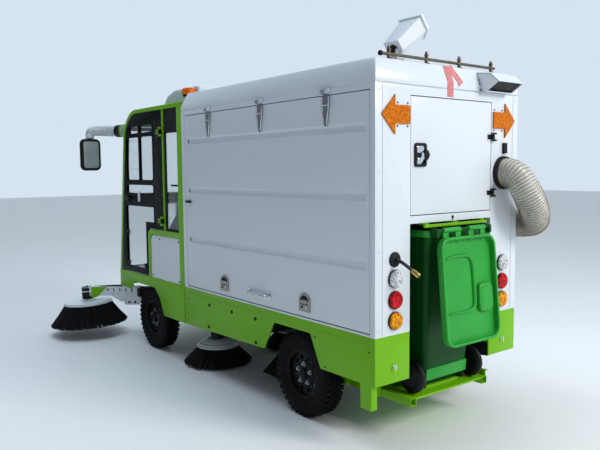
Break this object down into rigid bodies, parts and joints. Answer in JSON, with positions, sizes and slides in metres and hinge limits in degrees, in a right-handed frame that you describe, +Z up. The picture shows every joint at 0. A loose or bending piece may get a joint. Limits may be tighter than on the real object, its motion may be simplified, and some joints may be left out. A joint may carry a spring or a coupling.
{
  "type": "compact vacuum street sweeper",
  "caption": "Compact electric street sweeper with glazed cab, closed body, wheeled suction bin in a rear bay, side brushes on arms and a suction hose.",
  "frame": {"origin": "on the ground, in the middle of the overall box", "axes": "+X forward, +Y to the machine's left, +Z up"},
  "size_m": [4.5904, 2.5716, 2.5807],
  "materials": {
    "white_paint": "satin",
    "green_paint": "satin",
    "dark_paint": "satin",
    "black_paint": "satin",
    "rim_paint": "satin",
    "tyre": "matte",
    "lens": "gloss",
    "hose": "satin",
    "black_plastic": "matte",
    "white_plastic": "satin",
    "hose_rubber": "matte",
    "brass": "satin",
    "bin_green": "matte",
    "lid_green": "matte",
    "glass": "clear",
    "seat_cloth": "matte",
    "steel": "satin",
    "bristle": "matte"
  },
  "bodies": {
    "chassis": {"chassis_frame": "dark_paint", "front_axle": "dark_paint", "rear_axle": "dark_paint", "body_floor": "dark_paint", "bulkhead": "white_paint", "body_rails": "white_paint", "rear_frame": "white_paint", "bin_bay": "white_paint", "roof_lid": "white_paint", "skirts": "green_paint", "rear_lights": "lens", "suction_hose": "hose", "rear_collars": "black_plastic", "washer_hose": "hose_rubber", "washer_coupling": "brass", "roof_fittings": "white_paint", "roof_horn": "white_plastic", "bin_body": "bin_green", "bin_platform": "green_paint", "battery_pack": "black_plastic", "suction_mouth": "dark_paint", "cab_base": "green_paint", "cab_roof": "green_paint", "cab_side_frames": "green_paint", "cab_front": "green_paint", "front_lamps": "lens", "cab_glass": "glass", "dashboard": "black_plastic", "seat_base": "black_plastic", "seat_cushions": "seat_cloth", "mirrors": "black_plastic", "beacon": "lens", "roof_unit": "white_plastic", "mid_brush_mounts": "dark_paint"},
    "cab_door_left_body": {"cab_door_left": "black_paint", "door_glass_left": "glass"},
    "cab_door_right_body": {"cab_door_right": "black_paint", "door_glass_right": "glass"},
    "side_door_left_body": {"side_door_left": "white_paint"},
    "side_door_right_body": {"side_door_right": "white_paint"},
    "rear_door_body": {"rear_door": "white_paint"},
    "bin_lid_body": {"bin_lid": "lid_green"},
    "bin_wheels_body": {"bin_wheels": "black_plastic"},
    "knuckle_left_body": {"knuckle_left": "dark_paint"},
    "knuckle_right_body": {"knuckle_right": "dark_paint"},
    "wheel_front_left": {"tyre_front_left": "tyre", "rim_front_left": "rim_paint"},
    "wheel_front_right": {"tyre_front_right": "tyre", "rim_front_right": "rim_paint"},
    "wheel_rear_left": {"tyre_rear_left": "tyre", "rim_rear_left": "rim_paint"},
    "wheel_rear_right": {"tyre_rear_right": "tyre", "rim_rear_right": "rim_paint"},
    "arm_left": {"front_arm_left": "steel"},
    "arm_right": {"front_arm_right": "steel"},
    "brush_front_left": {"front_brush_left": "bristle"},
    "brush_front_right": {"front_brush_right": "bristle"},
    "brush_mid_left": {"mid_brush_left": "bristle"},
    "brush_mid_right": {"mid_brush_right": "bristle"},
    "steering_wheel_body": {"steering_wheel": "black_plastic"}
  },
  "joints": [
    {"name": "steer_left", "type": "hinge", "parent": "chassis", "child": "knuckle_left_body", "pos_m": [0.958, 0.45, 0.29], "axis": [0, 0, 1], "range_deg": [-32, 32]},
    {"name": "steer_right", "type": "hinge", "parent": "chassis", "child": "knuckle_right_body", "pos_m": [0.958, -0.45, 0.29], "axis": [0, 0, 1], "range_deg": [-32, 32]},
    {"name": "steering_wheel_turn", "type": "hinge", "parent": "chassis", "child": "steering_wheel_body", "pos_m": [1.388, 0, 1.37], "axis": [-0.8192, 0, 0.5736], "range_deg": [-390, 390]},
    {"name": "spin_front_left", "type": "hinge", "parent": "knuckle_left_body", "child": "wheel_front_left", "pos_m": [0.958, 0.5835, 0.29], "axis": [0, 1, 0], "continuous": true},
    {"name": "spin_front_right", "type": "hinge", "parent": "knuckle_right_body", "child": "wheel_front_right", "pos_m": [0.958, -0.5835, 0.29], "axis": [0, 1, 0], "continuous": true},
    {"name": "spin_rear_left", "type": "hinge", "parent": "chassis", "child": "wheel_rear_left", "pos_m": [-1.296, 0.5835, 0.29], "axis": [0, 1, 0], "continuous": true},
    {"name": "spin_rear_right", "type": "hinge", "parent": "chassis", "child": "wheel_rear_right", "pos_m": [-1.296, -0.5835, 0.29], "axis": [0, 1, 0], "continuous": true},
    {"name": "cab_door_left_swing", "type": "hinge", "parent": "chassis", "child": "cab_door_left_body", "pos_m": [0.633, 0.693, 1.4], "axis": [0, 0, 1], "range_deg": [0, 75]},
    {"name": "cab_door_right_swing", "type": "hinge", "parent": "chassis", "child": "cab_door_right_body", "pos_m": [0.633, -0.693, 1.4], "axis": [0, 0, -1], "range_deg": [0, 75]},
    {"name": "side_door_left_lift", "type": "hinge", "parent": "chassis", "child": "side_door_left_body", "pos_m": [-0.902, 0.698, 2.128], "axis": [1, 0, 0], "range_deg": [0, 95]},
    {"name": "side_door_right_lift", "type": "hinge", "parent": "chassis", "child": "side_door_right_body", "pos_m": [-0.902, -0.698, 2.128], "axis": [-1, 0, 0], "range_deg": [0, 95]},
    {"name": "rear_door_swing", "type": "hinge", "parent": "chassis", "child": "rear_door_body", "pos_m": [-2.044, -0.388, 1.7], "axis": [0, 0, 1], "range_deg": [0, 85]},
    {"name": "bin_lid_swing", "type": "hinge", "parent": "chassis", "child": "bin_lid_body", "pos_m": [-2.122, 0, 1.285], "axis": [0, 1, 0], "range_deg": [0, 165]},
    {"name": "bin_wheels_spin", "type": "hinge", "parent": "chassis", "child": "bin_wheels_body", "pos_m": [-1.954, 0, 0.361], "axis": [0, 1, 0], "continuous": true},
    {"name": "arm_left_lower", "type": "hinge", "parent": "chassis", "child": "arm_left", "pos_m": [1.563, 0.48, 0.44], "axis": [-0.7712, 0.6366, 0], "range_deg": [0, 4.5]},
    {"name": "brush_front_left_spin", "type": "hinge", "parent": "arm_left", "child": "brush_front_left", "pos_m": [1.918, 0.91, 0.33], "axis": [0.0333, 0.0404, 0.9986], "continuous": true},
    {"name": "brush_mid_left_spin", "type": "hinge", "parent": "chassis", "child": "brush_mid_left", "pos_m": [0.168, 0.42, 0.1], "axis": [0, 0, 1], "continuous": true},
    {"name": "arm_right_lower", "type": "hinge", "parent": "chassis", "child": "arm_right", "pos_m": [1.563, -0.48, 0.44], "axis": [0.7712, 0.6366, 0], "range_deg": [0, 4.5]},
    {"name": "brush_front_right_spin", "type": "hinge", "parent": "arm_right", "child": "brush_front_right", "pos_m": [1.918, -0.91, 0.33], "axis": [0.0333, -0.0404, 0.9986], "continuous": true},
    {"name": "brush_mid_right_spin", "type": "hinge", "parent": "chassis", "child": "brush_mid_right", "pos_m": [0.168, -0.42, 0.1], "axis": [0, 0, 1], "continuous": true}
  ],
  "couplings": [
    {"joint": "steer_right", "follows": "steer_left", "ratio": 1},
    {"joint": "steering_wheel_turn", "follows": "steer_left", "ratio": 12}
  ]
}
